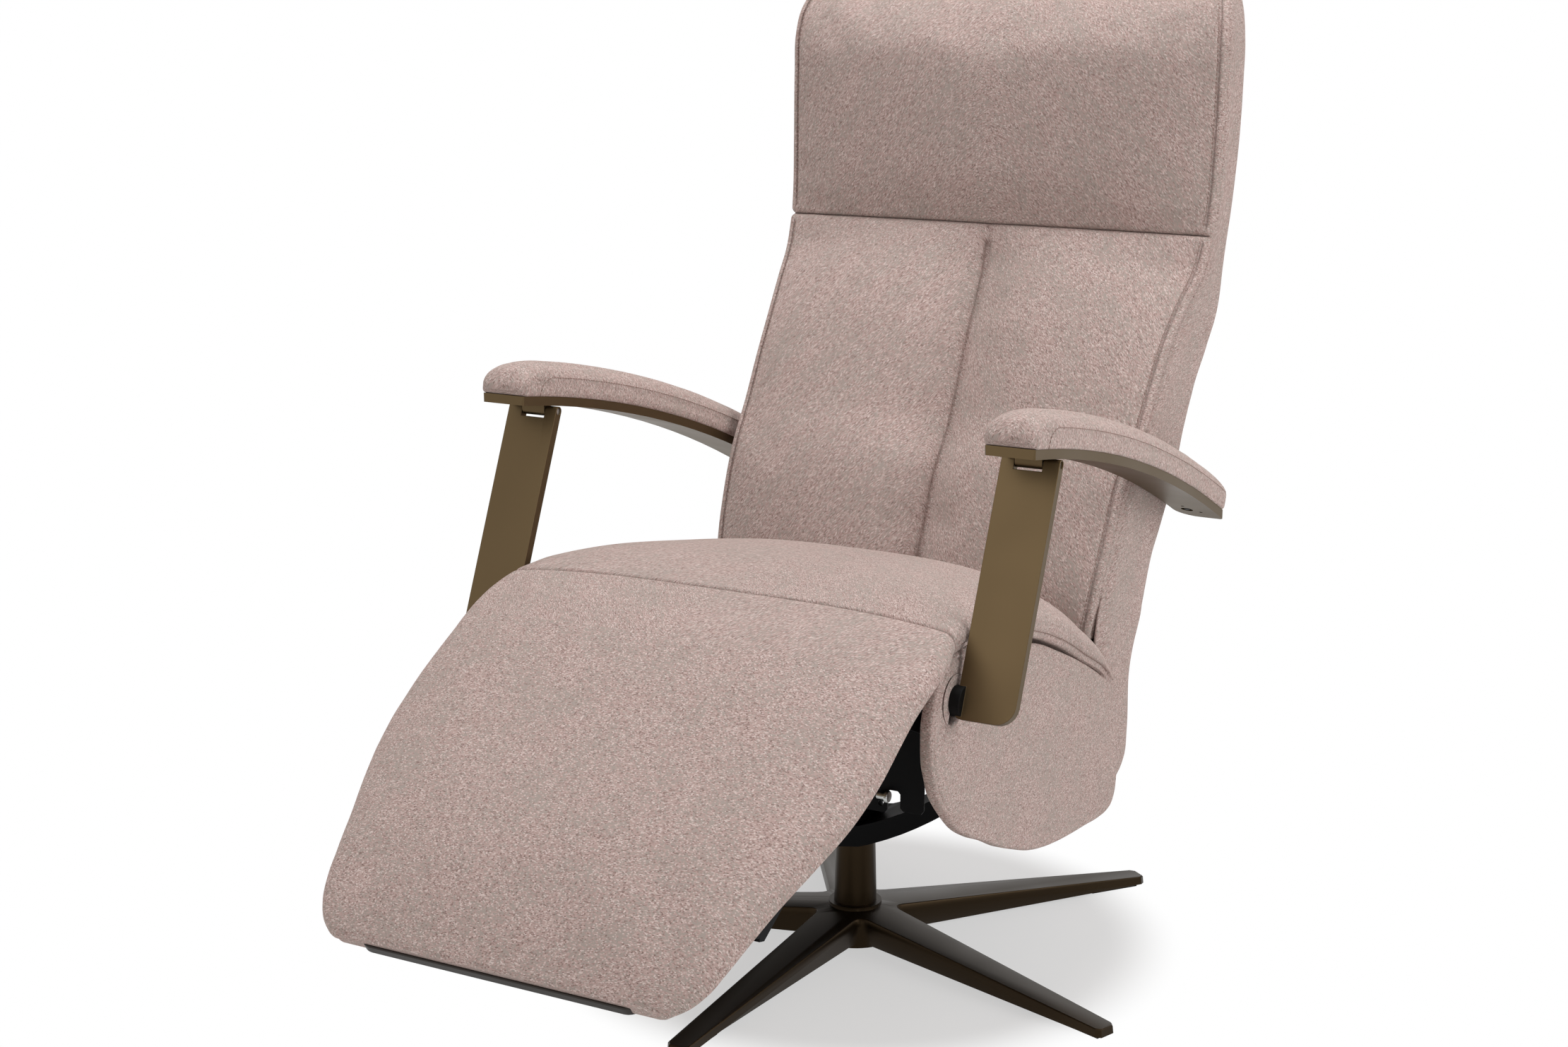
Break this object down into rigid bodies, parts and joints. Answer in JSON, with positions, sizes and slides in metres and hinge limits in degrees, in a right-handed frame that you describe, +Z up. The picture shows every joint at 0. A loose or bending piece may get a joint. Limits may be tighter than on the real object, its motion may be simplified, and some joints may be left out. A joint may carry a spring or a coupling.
{
  "type": "recliner chair",
  "caption": "Upholstered swivel recliner with a headrest, slim curved arms on flat posts, a leg rest and a star base, shown half reclined with the leg rest part raised.",
  "frame": {"origin": "on the floor, under the middle of the chair's outline in the half-reclined pose", "axes": "-Y is the way the sitter faces, +X is to the sitter's left, +Z is up"},
  "size_m": [0.7105, 1.1162, 1.0342],
  "materials": {
    "dark_bronze_lacquer": "satin dark bronze lacquer",
    "black_plastic": "matt black moulded plastic",
    "bright_steel": "zinc-plated turned steel",
    "black_painted_steel": "black powder coat",
    "plywood": "unfinished plywood",
    "flecked_weave": "flecked pink-taupe weave with topstitched seams",
    "bronze_satin_metal": "satin bronze lacquer"
  },
  "bodies": {
    "base": {"star_base": "dark_bronze_lacquer", "floor_glides": "black_plastic", "column": "dark_bronze_lacquer", "swivel_spindle": "bright_steel", "thrust_ring": "black_plastic", "hub_bolt": "bright_steel"},
    "seat": {"swivel_cradle": "black_painted_steel", "swivel_bush": "black_plastic", "cradle_bolts": "bright_steel", "side_plate_left": "black_painted_steel", "side_plate_right": "black_painted_steel", "front_cross_tube": "black_painted_steel", "rear_cross_tube": "black_painted_steel", "seat_board": "plywood", "seat_cushion": "flecked_weave", "side_panel_left": "flecked_weave", "side_panel_right": "flecked_weave", "post_bearings": "black_painted_steel", "back_pivot_pins": "bright_steel", "knee_pivot_pins": "bright_steel", "recline_drive": "black_painted_steel"},
    "post_l": {"post_left": "bronze_satin_metal", "post_axle_left": "bright_steel", "post_pin_left": "bright_steel"},
    "post_r": {"post_right": "bronze_satin_metal", "post_axle_right": "bright_steel", "post_pin_right": "bright_steel"},
    "arm_l": {"arm_plate_left": "bronze_satin_metal", "arm_pad_left": "flecked_weave", "arm_lug_left": "black_painted_steel", "arm_screws_left": "black_painted_steel"},
    "arm_r": {"arm_plate_right": "bronze_satin_metal", "arm_pad_right": "flecked_weave", "arm_lug_right": "black_painted_steel", "arm_screws_right": "black_painted_steel"},
    "back": {"back_frame_left": "black_painted_steel", "back_frame_right": "black_painted_steel", "back_cross_rails": "black_painted_steel", "arm_rear_pins": "bright_steel", "back_cushion": "flecked_weave", "back_shell": "flecked_weave", "headrest_pins": "bright_steel"},
    "headrest": {"headrest_frame": "black_painted_steel", "headrest_cushion": "flecked_weave", "headrest_shell": "flecked_weave"},
    "legrest": {"knee_rail_left": "black_painted_steel", "knee_rail_right": "black_painted_steel", "knee_cross_tube": "black_painted_steel", "knee_cushion": "flecked_weave"},
    "legrest_slider": {"runners": "black_painted_steel", "legrest_board": "plywood", "legrest_pad": "flecked_weave", "foot_plate": "dark_bronze_lacquer"},
    "drive_rod": {"recline_rod": "bright_steel"}
  },
  "joints": [
    {"name": "swivel", "type": "hinge", "parent": "base", "child": "seat", "pos_m": [0.002, 0.1225, 0.112], "axis": [0, 0, 1], "continuous": true},
    {"name": "back_recline", "type": "hinge", "parent": "seat", "child": "back", "pos_m": [0.002, 0.2945, 0.269], "axis": [-1, 0, 0], "range_deg": [-24, 12]},
    {"name": "post_left_pivot", "type": "hinge", "parent": "seat", "child": "post_l", "pos_m": [0.256, -0.1585, 0.385], "axis": [-1, 0, 0], "range_deg": [-24.5, 12.5]},
    {"name": "post_right_pivot", "type": "hinge", "parent": "seat", "child": "post_r", "pos_m": [-0.252, -0.1585, 0.385], "axis": [-1, 0, 0], "range_deg": [-24.5, 12.5]},
    {"name": "arm_left_pivot", "type": "hinge", "parent": "post_l", "child": "arm_l", "pos_m": [0.287, -0.06858, 0.59995], "axis": [-1, 0, 0], "range_deg": [-12.5, 24.5]},
    {"name": "arm_right_pivot", "type": "hinge", "parent": "post_r", "child": "arm_r", "pos_m": [-0.283, -0.06858, 0.59995], "axis": [-1, 0, 0], "range_deg": [-12.5, 24.5]},
    {"name": "headrest_tilt", "type": "hinge", "parent": "back", "child": "headrest", "pos_m": [0.002, 0.5065, 0.75], "axis": [-1, 0, 0], "range_deg": [0, 30]},
    {"name": "legrest_raise", "type": "hinge", "parent": "seat", "child": "legrest", "pos_m": [0.002, -0.1675, 0.37], "axis": [-1, 0, 0], "range_deg": [-59, 31], "deforming": ["knee_cushion"]},
    {"name": "legrest_extend", "type": "slide", "parent": "legrest", "child": "legrest_slider", "axis": [0, -0.8563, -0.5165], "range_m": [-0.081, 0.0425]},
    {"name": "recline_drive_stroke", "type": "slide", "parent": "seat", "child": "drive_rod", "axis": [0, -0.9945, 0.1045], "range_m": [-0.0295, 0.015]}
  ],
  "couplings": [
    {"joint": "post_left_pivot", "follows": "back_recline", "ratio": 1},
    {"joint": "post_right_pivot", "follows": "back_recline", "ratio": 1},
    {"joint": "arm_left_pivot", "follows": "back_recline", "ratio": -1},
    {"joint": "arm_right_pivot", "follows": "back_recline", "ratio": -1},
    {"joint": "recline_drive_stroke", "follows": "back_recline", "m_per_rad": 0.068},
    {"joint": "legrest_extend", "follows": "legrest_raise", "m_per_rad": 0.0777}
  ]
}
